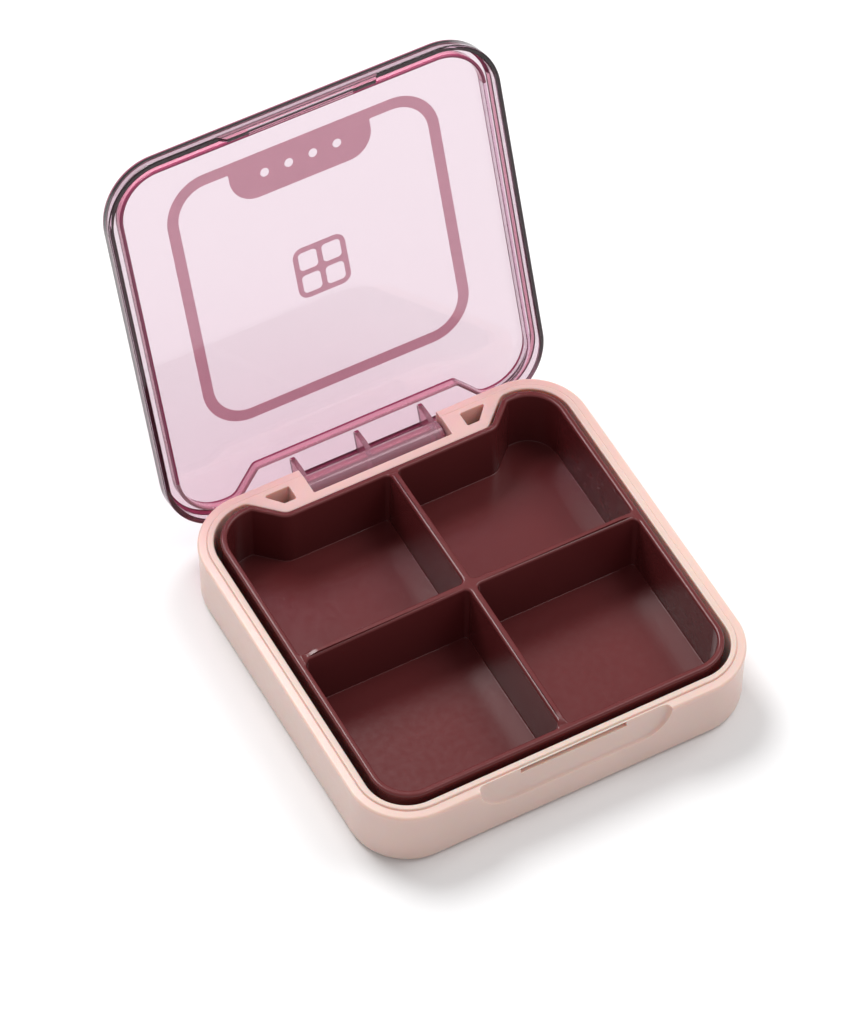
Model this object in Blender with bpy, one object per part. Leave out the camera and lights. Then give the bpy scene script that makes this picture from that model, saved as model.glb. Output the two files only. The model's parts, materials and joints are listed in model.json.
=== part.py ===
"""Pocket pill organizer: a drop-in tray with four compartments in a moulded base shell,
closed by a clear lid that turns on two moulded pivots at the rear.

Lengths are in millimetres and are scaled to metres when a mesh is made. +Z is up, the front
faces -Y, and the origin is the centre of the flat underside. The lid is drawn closed, with
its origin on the hinge axis, and is then turned back to rest open against its stop."""

import math

import bmesh
import bpy
from mathutils import Matrix, Vector

MM = 0.001

# ---- driving dimensions, millimetres ----
SHELL_HALF_X = 34.2
SHELL_FRONT = -34.2
SHELL_REAR = 34.0
SHELL_CORNER = 10.0
SHELL_DRAFT = 0.1
SHELL_FOOT_ROUND = 1.2
SHELL_FLOOR = 0.8
RIM_OUTER_Z = 12.0
RIM_ROUND = 0.9
RIM_STEP_IN = 1.4
RIM_TOP_Z = 12.35
RIM_TOP_ROUND = 0.15

CAVITY_HALF_X = 31.55
CAVITY_FRONT = -31.65
CAVITY_REAR = 31.6
CAVITY_MID_REAR = 26.9
CAVITY_JOG_IN = 18.1
CAVITY_JOG_OUT = 23.0
CAVITY_FRONT_CORNER = 7.0
CAVITY_REAR_CORNER = 7.5
CAVITY_FOOT = [(1.6, 0.0), (0.7, 0.5), (0.4, 1.5)]    # inset, height above the floor
CAVITY_MOUTH = 0.2

TRAY_HALF_X = 30.6
TRAY_FRONT = -30.85
TRAY_REAR = 30.5
TRAY_MID_REAR = 26.5
TRAY_FRONT_CORNER = 6.4
TRAY_REAR_CORNER = 6.6
TRAY_BASE_Z = 1.1
TRAY_FLOOR_Z = 2.0
TRAY_RIM_Z = 13.3
TRAY_WALL = 1.1
TRAY_DRAFT = 0.45
TRAY_FOOT = [(1.5, 0.0), (0.5, 0.45), (0.1, 1.5)]     # inset, height above the base
TRAY_RIM_BEAD = 0.12
TRAY_RIM_BEAD_Z = 12.2
TRAY_LIP = [(0.0, 0.3), (0.1, 0.1), (0.3, 0.0)]       # inset, depth below the rim
JOG_IN_X = 18.4
JOG_OUT_X = 22.6
JOG_ROUND = 1.8
DIVIDER_THICK = 1.37
DIVIDER_TOP_Z = 14.2
DIVIDER_RUN = 2.2
DIVIDER_STEPS = 5
DIVIDER_SINK = 0.3
DIVIDER_END_IN = 0.45
DIVIDER_SKIN = 0.02       # keeps joined faces from lying in one plane
COMPARTMENT_TAPER = 0.28
COMPARTMENT_FILLET = 0.6
COMPARTMENT_CORNER = 1.2
COMPARTMENT_MOUTH = 0.1
COMPARTMENT_JOG = [(0.4, 0.8), (0.4, 2.8)]            # way past the tray's jog, radius

HINGE_Y = 31.8
HINGE_Z = 9.0
LID_OPEN_DEG = 109.2
BARREL_RADIUS = 2.1
PIVOT_RADIUS = 1.1
PIVOT_LENGTH = 2.0
HINGE_SLACK = 0.3

NOTCH_HALF_X = 12.4
NOTCH_FRONT = 28.5
NOTCH_FLOOR_Z = 5.4
NOTCH_CORNER = 0.2
POCKET_FLOOR_Z = 3.0
POCKET_CORNER = 0.25
POCKET = [(15.4, 28.8), (17.5, 28.8), (19.9, 31.5), (15.4, 31.5)]

LID_HALF_X = 34.0
LID_FRONT = -33.8
LID_REAR = 33.9
LID_CORNER = 9.9
LID_TOP_Z = 15.5
LID_PLATE = 1.0
LID_SKIRT = 0.9
LID_SKIRT_Z = 12.3
LID_EDGE_ROUND = 1.2
LID_INNER_ROUND = 0.5
RIDGE_GAP = 0.6
RIDGE_THICK = 0.6
RIDGE_TIP_Z = 12.7
LID_OVERLAP = 0.2
GUSSET_THICK = 0.9
GUSSET_X = 11.5
GUSSET_FRONT = 28.9
GUSSET_HEEL = 0.9
GUSSET_LEAN = 0.45
GUSSET_TOE_Z = 2.6
GUSSET_FOOT = 1.2

SCOOP_HALF_X = 16.7
SCOOP_FLOOR_Z = 6.7
SCOOP_END_ROUND = 5.0
SCOOP_FACE_TOP = -32.95
SCOOP_FACE_FOOT = -33.8
SLOT_HALF_X = 9.3
SLOT_LOW_Z = 10.9
SLOT_HIGH_Z = 11.9
SLOT_BACK = -32.15

TAB_HALF_X = 14.0
TAB_LOW_Z = 10.8
TAB_THICK = 0.6
TAB_RAMP = 1.2
TAB_ROOT = 0.2
BEAD_HALF_X = 9.0
BEAD_Z = 11.4
BEAD_REACH = 0.55
BEAD_HALF_HEIGHT = 0.3

PRINT_THICK = 0.12
PRINT_GAP = 0.08
PRINT_HALF_X = 23.7
PRINT_FRONT = -26.7
PRINT_REAR = 19.2
PRINT_CORNER = 7.5
PRINT_BAND = 1.9
PRINT_TAB_HALF_X = 12.3
PRINT_TAB_REACH = 7.7
PRINT_TAB_CORNER = 4.4
PRINT_DOTS = 4
PRINT_DOT_PITCH = 4.2
PRINT_DOT_RADIUS = 0.75
SYMBOL_CENTRE_Y = -2.6
SYMBOL_HALF = 4.6
SYMBOL_CORNER = 1.7
SYMBOL_LINE = 0.9
SYMBOL_PANE_CORNER = 0.7

# ---- drawing ----
ARC_STEPS = 7             # steps of each rounded corner of an outline
EDGE_STEPS = 4            # steps of a quarter round along an edge
ROD_SIDES = 32
PIVOT_SIDES = 24
SMALLEST_RADIUS = 0.15
THROUGH = 1.0             # how far a cutter runs past the face that it opens


# ---- outlines in the XY plane ----
def rounded(corners):
    """Points of a closed outline from (x, y, radius) corners, with each corner an arc."""
    points = []
    count = len(corners)
    for index, (x, y, radius) in enumerate(corners):
        here = Vector((x, y))
        before = (Vector(corners[index - 1][:2]) - here).normalized()
        after = (Vector(corners[(index + 1) % count][:2]) - here).normalized()
        half = before.angle(after) / 2
        reach = radius / math.tan(half)
        centre = here + (before + after).normalized() * (radius / math.sin(half))
        start = here + before * reach - centre
        end = here + after * reach - centre
        sweep = math.atan2(start.cross(end), start.dot(end))
        for step in range(ARC_STEPS + 1):
            turn = sweep * step / ARC_STEPS
            spoke = Matrix.Rotation(turn, 2) @ start
            points.append(tuple(centre + spoke))
    return points


def grown(corners, offset):
    """The same corners moved outwards by an offset; a negative one shrinks the outline."""
    result = []
    count = len(corners)
    for index, (x, y, radius) in enumerate(corners):
        here = Vector((x, y))
        along_in = (here - Vector(corners[index - 1][:2])).normalized()
        along_out = (Vector(corners[(index + 1) % count][:2]) - here).normalized()
        normal_in = Vector((along_in.y, -along_in.x))
        normal_out = Vector((along_out.y, -along_out.x))
        shift = (normal_in + normal_out) * (offset / (1 + normal_in.dot(normal_out)))
        turn = offset if along_in.cross(along_out) > 0 else -offset
        result.append((x + shift.x, y + shift.y, max(radius + turn, SMALLEST_RADIUS)))
    return result


def mirrored(corners):
    """The outline reflected in the plane x = 0, still counter-clockwise."""
    return [(-x, y, radius) for x, y, radius in reversed(corners)]


def box_corners(x0, x1, y0, y1, radius):
    return [(x0, y0, radius), (x1, y0, radius), (x1, y1, radius), (x0, y1, radius)]


def jogged_corners(half_x, front, rear, mid_rear, jog_in, jog_out, front_round, rear_round):
    """A rounded square whose rear wall steps forward between the two hinge bosses."""
    return [
        (-half_x, front, front_round),
        (half_x, front, front_round),
        (half_x, rear, rear_round),
        (jog_out, rear, JOG_ROUND),
        (jog_in, mid_rear, JOG_ROUND),
        (-jog_in, mid_rear, JOG_ROUND),
        (-jog_out, rear, JOG_ROUND),
        (-half_x, rear, rear_round),
    ]


def quarter(radius, steps=EDGE_STEPS):
    """Pairs along a quarter round: the way left across, and the way gone up."""
    turns = [math.radians(90 * step / steps) for step in range(steps + 1)]
    return [(radius * (1 - math.sin(a)), radius * (1 - math.cos(a))) for a in turns]


SHELL_OUTLINE = box_corners(
    -SHELL_HALF_X, SHELL_HALF_X, SHELL_FRONT, SHELL_REAR, SHELL_CORNER)
CAVITY_OUTLINE = jogged_corners(
    CAVITY_HALF_X, CAVITY_FRONT, CAVITY_REAR, CAVITY_MID_REAR, CAVITY_JOG_IN, CAVITY_JOG_OUT,
    CAVITY_FRONT_CORNER, CAVITY_REAR_CORNER)
TRAY_OUTLINE = jogged_corners(
    TRAY_HALF_X, TRAY_FRONT, TRAY_REAR, TRAY_MID_REAR, JOG_IN_X, JOG_OUT_X,
    TRAY_FRONT_CORNER, TRAY_REAR_CORNER)
LID_OUTLINE = box_corners(-LID_HALF_X, LID_HALF_X, LID_FRONT, LID_REAR, LID_CORNER)
HINGE = (0.0, HINGE_Y, HINGE_Z)


# ---- solids ----
def material(name, colour, roughness, alpha=1.0):
    finish = bpy.data.materials.new(name)
    finish.use_nodes = True
    shader = finish.node_tree.nodes["Principled BSDF"]
    shader.inputs["Base Color"].default_value = (*colour, 1.0)
    shader.inputs["Roughness"].default_value = roughness
    shader.inputs["Metallic"].default_value = 0.0
    shader.inputs["Alpha"].default_value = alpha
    finish.diffuse_color = (*colour, alpha)
    return finish


def add_object(name, mesh_data, origin, parent):
    """Scales a bmesh in millimetres to metres about an origin and links it to the scene."""
    bmesh.ops.translate(mesh_data, verts=mesh_data.verts, vec=-Vector(origin))
    bmesh.ops.scale(mesh_data, verts=mesh_data.verts, vec=(MM, MM, MM))
    bmesh.ops.recalc_face_normals(mesh_data, faces=mesh_data.faces)
    mesh = bpy.data.meshes.new(name)
    mesh_data.to_mesh(mesh)
    mesh_data.free()
    obj = bpy.data.objects.new(name, mesh)
    bpy.context.scene.collection.objects.link(obj)
    if parent is None:
        obj.location = Vector(origin) * MM
    else:
        obj.parent = parent
    return obj


def loft(name, rings, origin=(0, 0, 0), parent=None):
    """One closed body through rings of points that all have the same number of points."""
    data = bmesh.new()
    layers = [[data.verts.new(point) for point in ring] for ring in rings]
    count = len(rings[0])
    for lower, upper in zip(layers, layers[1:]):
        for index in range(count):
            after = (index + 1) % count
            data.faces.new((lower[index], lower[after], upper[after], upper[index]))
    data.faces.new(reversed(layers[0]))
    data.faces.new(layers[-1])
    return add_object(name, data, origin, parent)


def level(corners, offset, z):
    """One ring of a loft: the outline grown by an offset, at a height."""
    return [(x, y, z) for x, y in rounded(grown(corners, offset))]


def prism(name, corners, z0, z1, origin=(0, 0, 0), parent=None):
    return loft(name, [level(corners, 0, z0), level(corners, 0, z1)], origin, parent)


def slab_x(name, profile, x0, x1, origin=(0, 0, 0), parent=None):
    """A (y, z) profile drawn out along X."""
    rings = [[(x, y, z) for y, z in profile] for x in (x0, x1)]
    return loft(name, rings, origin, parent)


def hinge_rod(name, radius, half_x, sides, origin=(0, 0, 0), parent=None):
    """A rod along the hinge axis, centred on x = 0."""
    turns = [2 * math.pi * step / sides for step in range(sides)]
    profile = [(HINGE_Y + radius * math.cos(a), HINGE_Z + radius * math.sin(a)) for a in turns]
    return slab_x(name, profile, -half_x, half_x, origin, parent)


def combine(target, helper, operation):
    """Cuts or joins a helper solid with a Boolean that stays live on its target."""
    modifier = target.modifiers.new(helper.name, "BOOLEAN")
    modifier.operation = operation
    modifier.solver = "EXACT"
    modifier.object = helper
    helper.hide_render = True
    helper.display_type = "WIRE"


def cut(target, helper):
    combine(target, helper, "DIFFERENCE")


def join(target, helper):
    combine(target, helper, "UNION")


def finish_object(obj, surface):
    obj.data.materials.append(surface)
    obj.data.shade_smooth()
    obj.data.set_sharp_from_angle(angle=math.radians(35))


# ---- base shell ----
def scoop_face_y(z):
    """The finger scoop's face leans outwards towards its foot."""
    share = (RIM_TOP_Z - z) / (RIM_TOP_Z - SCOOP_FLOOR_Z)
    return SCOOP_FACE_TOP + (SCOOP_FACE_FOOT - SCOOP_FACE_TOP) * share


def make_scoop(shell):
    """A D-shaped finger scoop in the front wall, open at the rim, with the latch slot in it."""
    top = RIM_TOP_Z + THROUGH
    outline = rounded([
        (-SCOOP_HALF_X, SCOOP_FLOOR_Z, SCOOP_END_ROUND),
        (SCOOP_HALF_X, SCOOP_FLOOR_Z, SCOOP_END_ROUND),
        (SCOOP_HALF_X, top, SMALLEST_RADIUS),
        (-SCOOP_HALF_X, top, SMALLEST_RADIUS),
    ])
    face = [(x, scoop_face_y(z), z) for x, z in outline]
    front = [(x, SHELL_FRONT - THROUGH, z) for x, z in outline]
    cut(shell, loft("scoop_cutter", [front, face]))
    slot = box_corners(-SLOT_HALF_X, SLOT_HALF_X, SHELL_FRONT, SLOT_BACK, SMALLEST_RADIUS)
    cut(shell, prism("slot_cutter", slot, SLOT_LOW_Z, SLOT_HIGH_Z))


def make_hinge_seat(shell):
    """The notch for the lid's barrel, two blind sockets, and a relief pocket in each boss."""
    notch = box_corners(
        -NOTCH_HALF_X, NOTCH_HALF_X, NOTCH_FRONT, SHELL_REAR + THROUGH, NOTCH_CORNER)
    cut(shell, prism("notch_cutter", notch, NOTCH_FLOOR_Z, RIM_TOP_Z + THROUGH))
    cut(shell, hinge_rod("socket_cutter", PIVOT_RADIUS + HINGE_SLACK,
                         NOTCH_HALF_X + PIVOT_LENGTH, ROD_SIDES))
    pocket = [(x, y, POCKET_CORNER) for x, y in POCKET]
    for side, corners in (("right", pocket), ("left", mirrored(pocket))):
        cut(shell, prism("pocket_cutter_" + side, corners, POCKET_FLOOR_Z, RIM_TOP_Z + THROUGH))


def make_shell():
    rings = []
    for across, up in quarter(SHELL_FOOT_ROUND):
        rings.append(level(SHELL_OUTLINE, -SHELL_DRAFT - across, up))
    for across, up in quarter(RIM_ROUND):
        rings.append(level(SHELL_OUTLINE, -up, RIM_OUTER_Z - across))
    rings.append(level(SHELL_OUTLINE, -RIM_STEP_IN, RIM_OUTER_Z))
    rings.append(level(SHELL_OUTLINE, -RIM_STEP_IN, RIM_TOP_Z - RIM_TOP_ROUND))
    rings.append(level(SHELL_OUTLINE, -RIM_STEP_IN - RIM_TOP_ROUND, RIM_TOP_Z))
    shell = loft("base_shell", rings)
    cavity = [level(CAVITY_OUTLINE, -inset, SHELL_FLOOR + rise) for inset, rise in CAVITY_FOOT]
    cavity.append(level(CAVITY_OUTLINE, 0, RIM_TOP_Z - CAVITY_MOUTH))
    cavity.append(level(CAVITY_OUTLINE, CAVITY_MOUTH, RIM_TOP_Z))
    cavity.append(level(CAVITY_OUTLINE, CAVITY_MOUTH, RIM_TOP_Z + THROUGH))
    cut(shell, loft("cavity_cutter", cavity))
    make_hinge_seat(shell)
    make_scoop(shell)
    finish_object(shell, material("shell_peach", (0.80, 0.58, 0.50), 0.42))
    return shell


# ---- tray ----
def compartment_corners():
    """The front right and rear right compartments; the left ones are their mirror images."""
    side = TRAY_HALF_X - TRAY_WALL
    half = DIVIDER_THICK / 2
    front = [
        (half, TRAY_FRONT + TRAY_WALL, COMPARTMENT_CORNER),
        (side, TRAY_FRONT + TRAY_WALL, TRAY_FRONT_CORNER - TRAY_WALL),
        (side, -half, COMPARTMENT_CORNER),
        (half, -half, COMPARTMENT_CORNER),
    ]
    (past_out, round_out), (past_in, round_in) = COMPARTMENT_JOG
    rear = [
        (half, half, COMPARTMENT_CORNER),
        (side, half, COMPARTMENT_CORNER),
        (side, TRAY_REAR - TRAY_WALL, TRAY_REAR_CORNER - TRAY_WALL),
        (JOG_OUT_X + past_out, TRAY_REAR - TRAY_WALL, round_out),
        (JOG_IN_X + past_in, TRAY_MID_REAR - TRAY_WALL, round_in),
        (half, TRAY_MID_REAR - TRAY_WALL, COMPARTMENT_CORNER),
    ]
    return {"front": front, "rear": rear}


def divider_profile(reach_low, reach_high, top):
    """Side view of a divider: its top runs level, then curves down to the rim at each end."""
    foot = TRAY_RIM_Z - DIVIDER_SINK
    turns = [math.radians(90 * step / DIVIDER_STEPS) for step in range(DIVIDER_STEPS + 1)]
    runs = [(DIVIDER_RUN * (1 - math.cos(a)), foot + (top - foot) * math.sin(a)) for a in turns]
    base = (TRAY_BASE_Z + TRAY_FLOOR_Z) / 2
    points = [(reach_low, base), (reach_high, base)]
    points += [(reach_high - run, z) for run, z in runs]
    points += [(reach_low + run, z) for run, z in reversed(runs)]
    return points


def make_tray():
    rings = []
    for inset, rise in TRAY_FOOT:
        rings.append(level(TRAY_OUTLINE, -TRAY_DRAFT - inset, TRAY_BASE_Z + rise))
    rings.append(level(TRAY_OUTLINE, -TRAY_RIM_BEAD, TRAY_RIM_BEAD_Z - TRAY_RIM_BEAD))
    rings.append(level(TRAY_OUTLINE, 0, TRAY_RIM_BEAD_Z))
    rings += [level(TRAY_OUTLINE, -inset, TRAY_RIM_Z - depth) for inset, depth in TRAY_LIP]
    tray = loft("pill_tray", rings)
    for row, corners in compartment_corners().items():
        for side, outline in (("right", corners), ("left", mirrored(corners))):
            hollow = []
            for across, up in quarter(COMPARTMENT_FILLET, 3):
                hollow.append(level(outline, -COMPARTMENT_TAPER - across, TRAY_FLOOR_Z + up))
            hollow.append(level(outline, 0, TRAY_RIM_Z - COMPARTMENT_MOUTH))
            hollow.append(level(outline, COMPARTMENT_MOUTH, TRAY_RIM_Z))
            hollow.append(level(outline, COMPARTMENT_MOUTH, TRAY_RIM_Z + THROUGH))
            cut(tray, loft("hollow_cutter_" + row + "_" + side, hollow))
    half = DIVIDER_THICK / 2 + DIVIDER_SKIN
    end = TRAY_HALF_X - DIVIDER_END_IN
    across = divider_profile(-end, end, DIVIDER_TOP_Z)
    rings = [[(x, y, z) for x, z in across] for y in (half, -half)]
    join(tray, loft("divider_across", rings))
    along = divider_profile(
        TRAY_FRONT + DIVIDER_END_IN, TRAY_MID_REAR - DIVIDER_END_IN, DIVIDER_TOP_Z - DIVIDER_SKIN)
    join(tray, slab_x("divider_along", along, -half, half))
    finish_object(tray, material("tray_burgundy", (0.24, 0.055, 0.06), 0.3))
    return tray


# ---- lid ----
def make_ridge(lid):
    """The sealing ridge: a thin wall that drops outside the tray's rim when the lid closes."""
    outer = RIDGE_GAP + RIDGE_THICK
    plate = LID_TOP_Z - LID_PLATE + LID_OVERLAP
    data = bmesh.new()
    rings = [
        level(TRAY_OUTLINE, outer, plate),
        level(TRAY_OUTLINE, outer, RIDGE_TIP_Z),
        level(TRAY_OUTLINE, RIDGE_GAP, RIDGE_TIP_Z),
        level(TRAY_OUTLINE, RIDGE_GAP, plate),
    ]
    layers = [[data.verts.new(point) for point in ring] for ring in rings]
    count = len(rings[0])
    for layer, following in zip(layers, layers[1:] + layers[:1]):
        for index in range(count):
            after = (index + 1) % count
            data.faces.new((layer[index], layer[after], following[after], following[index]))
    join(lid, add_object("ridge_wall", data, HINGE, lid))


def make_hinge_leaf(lid):
    """The rear wall's tongue, its barrel, the two pivots and the three gussets."""
    half = NOTCH_HALF_X - HINGE_SLACK
    rear_wall = LID_REAR - LID_SKIRT - LID_OVERLAP
    wall = [
        (rear_wall, HINGE_Z),
        (LID_REAR, HINGE_Z),
        (LID_REAR, LID_TOP_Z - LID_EDGE_ROUND),
        (rear_wall, LID_TOP_Z - LID_EDGE_ROUND),
    ]
    join(lid, slab_x("hinge_wall", wall, -half, half, HINGE, lid))
    join(lid, hinge_rod("barrel", BARREL_RADIUS, half, ROD_SIDES, HINGE, lid))
    join(lid, hinge_rod("pivots", PIVOT_RADIUS, half + PIVOT_LENGTH, PIVOT_SIDES, HINGE, lid))
    plate = LID_TOP_Z - LID_PLATE + LID_OVERLAP
    back = rear_wall + LID_OVERLAP * 1.5
    gusset = [
        (HINGE_Y - GUSSET_FOOT, HINGE_Z),
        (back, HINGE_Z),
        (back, plate),
        (GUSSET_FRONT, plate),
        (GUSSET_FRONT, plate - GUSSET_HEEL),
        (GUSSET_FRONT + GUSSET_LEAN, HINGE_Z + GUSSET_TOE_Z),
    ]
    for number, x in enumerate((-GUSSET_X, 0.0, GUSSET_X), start=1):
        low = x - GUSSET_THICK / 2
        name = "gusset_%d" % number
        join(lid, slab_x(name, gusset, low, low + GUSSET_THICK, HINGE, lid))


def make_latch(lid):
    """The front tab hangs in the finger scoop, and its bead snaps into the latch slot."""
    back = LID_FRONT + TAB_THICK
    top = LID_SKIRT_Z + TAB_ROOT
    outline = [
        (-TAB_HALF_X, top),
        (-TAB_HALF_X + TAB_RAMP, TAB_LOW_Z),
        (TAB_HALF_X - TAB_RAMP, TAB_LOW_Z),
        (TAB_HALF_X, top),
    ]
    rings = [[(x, y, z) for x, z in outline] for y in (LID_FRONT, back)]
    join(lid, loft("latch_tab", rings, HINGE, lid))
    bead = [
        (back - LID_OVERLAP, BEAD_Z - BEAD_HALF_HEIGHT),
        (back + BEAD_REACH, BEAD_Z - BEAD_HALF_HEIGHT / 2),
        (back + BEAD_REACH, BEAD_Z + BEAD_HALF_HEIGHT / 2),
        (back - LID_OVERLAP, BEAD_Z + BEAD_HALF_HEIGHT),
    ]
    join(lid, slab_x("latch_bead", bead, -BEAD_HALF_X, BEAD_HALF_X, HINGE, lid))


def make_lid():
    rings = [level(LID_OUTLINE, 0, LID_SKIRT_Z)]
    for across, up in quarter(LID_EDGE_ROUND, 5):
        rings.append(level(LID_OUTLINE, -up, LID_TOP_Z - across))
    lid = loft("lid", rings, HINGE)
    inner = LID_TOP_Z - LID_PLATE
    hollow = [level(LID_OUTLINE, -LID_SKIRT, LID_SKIRT_Z - THROUGH)]
    for across, up in quarter(LID_INNER_ROUND, 2):
        hollow.append(level(LID_OUTLINE, -LID_SKIRT - up, inner - across))
    cut(lid, loft("lid_cutter", hollow, HINGE, lid))
    make_ridge(lid)
    make_hinge_leaf(lid)
    make_latch(lid)
    finish_object(lid, material("lid_clear_pink", (0.90, 0.62, 0.74), 0.08, 0.35))
    return lid


# ---- print on the lid's outer face ----
def print_origin_z():
    return LID_TOP_Z + PRINT_GAP


def make_border(lid, ink):
    """A rounded square band with a wide tab at the front, pierced by a row of four dots."""
    z0 = print_origin_z()
    z1 = z0 + PRINT_THICK
    edge = box_corners(-PRINT_HALF_X, PRINT_HALF_X, PRINT_FRONT, PRINT_REAR, PRINT_CORNER)
    border = prism("lid_print_border", edge, z0, z1, HINGE, lid)
    front = PRINT_FRONT + PRINT_BAND
    tab_foot = PRINT_FRONT + PRINT_TAB_REACH
    window = [
        (PRINT_TAB_HALF_X, front, 0.3),
        (PRINT_HALF_X - PRINT_BAND, front, PRINT_CORNER - PRINT_BAND),
        (PRINT_HALF_X - PRINT_BAND, PRINT_REAR - PRINT_BAND, PRINT_CORNER - PRINT_BAND),
        (-PRINT_HALF_X + PRINT_BAND, PRINT_REAR - PRINT_BAND, PRINT_CORNER - PRINT_BAND),
        (-PRINT_HALF_X + PRINT_BAND, front, PRINT_CORNER - PRINT_BAND),
        (-PRINT_TAB_HALF_X, front, 0.3),
        (-PRINT_TAB_HALF_X, tab_foot, PRINT_TAB_CORNER),
        (PRINT_TAB_HALF_X, tab_foot, PRINT_TAB_CORNER),
    ]
    cut(border, prism("print_window", window, z0 - THROUGH, z1 + THROUGH, HINGE, lid))
    size = PRINT_DOT_RADIUS
    y = PRINT_FRONT + PRINT_TAB_REACH / 2
    for number in range(PRINT_DOTS):
        x = (number - (PRINT_DOTS - 1) / 2) * PRINT_DOT_PITCH
        dot = box_corners(x - size, x + size, y - size, y + size, size * 0.98)
        name = "print_dot_%d" % number
        cut(border, prism(name, dot, z0 - THROUGH, z1 + THROUGH, HINGE, lid))
    finish_object(border, ink)


def make_symbol(lid, ink):
    """A plain four-square symbol: a rounded frame with a cross, like the tray's plan."""
    z0 = print_origin_z()
    z1 = z0 + PRINT_THICK
    low = SYMBOL_CENTRE_Y - SYMBOL_HALF
    high = SYMBOL_CENTRE_Y + SYMBOL_HALF
    edge = box_corners(-SYMBOL_HALF, SYMBOL_HALF, low, high, SYMBOL_CORNER)
    symbol = prism("lid_print_symbol", edge, z0, z1, HINGE, lid)
    half = SYMBOL_LINE / 2
    size = SYMBOL_HALF - SYMBOL_LINE - half
    columns = {"left": -SYMBOL_HALF + SYMBOL_LINE, "right": half}
    rows = {"front": low + SYMBOL_LINE, "rear": SYMBOL_CENTRE_Y + half}
    for column, x0 in columns.items():
        for row, y0 in rows.items():
            pane = box_corners(x0, x0 + size, y0, y0 + size, SYMBOL_PANE_CORNER)
            name = "pane_" + column + "_" + row
            cut(symbol, prism(name, pane, z0 - THROUGH, z1 + THROUGH, HINGE, lid))
    finish_object(symbol, ink)


def main():
    for obj in list(bpy.data.objects):
        bpy.data.objects.remove(obj, do_unlink=True)
    make_shell()
    make_tray()
    lid = make_lid()
    ink = material("rose_ink", (0.52, 0.22, 0.30), 0.5)
    make_border(lid, ink)
    make_symbol(lid, ink.copy())
    lid.rotation_euler = (-math.radians(LID_OPEN_DEG), 0, 0)


main()
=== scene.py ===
"""Looks of the pocket pill organizer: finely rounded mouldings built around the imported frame,
their materials, a pale studio and the camera.

Shapes are drawn in millimetres and scaled to metres. The outer sizes come from the frame's
nodes; the lid is drawn closed and is then turned back to its open rest on the hinge axis."""

import json
import math

import bmesh
import bpy
from mathutils import Matrix, Vector


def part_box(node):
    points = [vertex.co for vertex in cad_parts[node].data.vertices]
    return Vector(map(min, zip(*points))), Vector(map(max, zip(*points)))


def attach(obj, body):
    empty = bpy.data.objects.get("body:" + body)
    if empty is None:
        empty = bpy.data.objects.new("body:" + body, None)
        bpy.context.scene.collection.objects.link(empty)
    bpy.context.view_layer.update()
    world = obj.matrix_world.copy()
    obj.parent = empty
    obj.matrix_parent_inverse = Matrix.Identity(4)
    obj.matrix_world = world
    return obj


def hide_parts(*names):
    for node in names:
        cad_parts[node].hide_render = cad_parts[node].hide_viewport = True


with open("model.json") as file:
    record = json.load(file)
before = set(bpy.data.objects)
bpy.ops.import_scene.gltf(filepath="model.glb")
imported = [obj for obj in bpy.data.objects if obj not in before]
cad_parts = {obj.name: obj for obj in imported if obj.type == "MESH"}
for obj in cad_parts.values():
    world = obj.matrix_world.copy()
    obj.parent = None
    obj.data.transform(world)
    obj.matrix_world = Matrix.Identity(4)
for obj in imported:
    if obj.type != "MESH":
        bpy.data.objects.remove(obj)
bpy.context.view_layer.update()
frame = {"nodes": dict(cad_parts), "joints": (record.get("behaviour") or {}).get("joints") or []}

MM = 0.001

# ---- drawing quality ----
ARC_DENSITY = 2.4          # steps of an outline arc for each millimetre of its radius
ARC_LEAST = 5
ARC_LEAST_RADIUS = 0.12    # an outline's corner that shrinks stays at least this round
ROUND_STEPS = 6            # steps of a quarter round across an edge
COARSE_STEPS = 4           # the same, for a round that hardly shows
FINE_STEPS = 10            # the same, for the lid's outer edge
DIVIDER_STEPS = 12         # steps of the curve where a divider rises from the wall
RIDGE_TIP_STEPS = 8
ROD_SIDES = 48
BARREL_SIDES = 64
CHAMFER = 0.12             # at the ends of rods, walls and gussets
OVERLAP = 0.2              # how far a detail runs into the body that it is joined to
THROUGH = 2.0              # how far a cutter runs past the wall that it opens
CUTTER_LIFT = 1.0          # how far a cutter runs past a top or a print
MERGE_DISTANCE = 0.002     # vertices this close become one
SHARP_DEGREES = 32         # edges that turn by more than this stay sharp
NORMAL_WEIGHT = 60

# ---- details that the frame's boxes don't give, millimetres ----
SHELL_CORNER = 10.0
SHELL_DRAFT = 0.12
SHELL_FOOT_ROUND = 1.2
SHELL_FLOOR = 0.8
RIM_STEP = 0.3             # the inner band of the rim stands this much above the outer one
RIM_EDGE_ROUND = 0.45
RIM_BAND_RISE = 0.06
RIM_BAND_END = 1.35
RIM_GROOVE_IN = 1.5
RIM_GROOVE_SIDE = 0.05
RIM_GROOVE_DEPTH = 0.07
RIM_INNER_IN = 1.58
RIM_INNER_ROUND = 0.18
RIM_LIP = 0.12             # the rim's edge overhangs the wall by this much
RIM_LIP_Z = 10.6
RIM_LIP_STEPS = [(1.0, 0.0), (0.8, 0.35), (0.35, 0.65)]    # share of the lip, height above its foot
CAVITY_EDGE_ROUND = 0.25

CAVITY_HALF_X = 31.55
CAVITY_FRONT = -31.65
CAVITY_REAR = 31.6
CAVITY_MID_REAR = 26.9
CAVITY_JOG_IN = 18.1
CAVITY_JOG_OUT = 23.0
CAVITY_FRONT_CORNER = 7.0
CAVITY_REAR_CORNER = 7.5
CAVITY_FOOT = [(1.6, 0.0), (0.7, 0.5), (0.4, 1.5)]         # taper in, height above the floor
JOG_ROUND = 1.8

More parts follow.
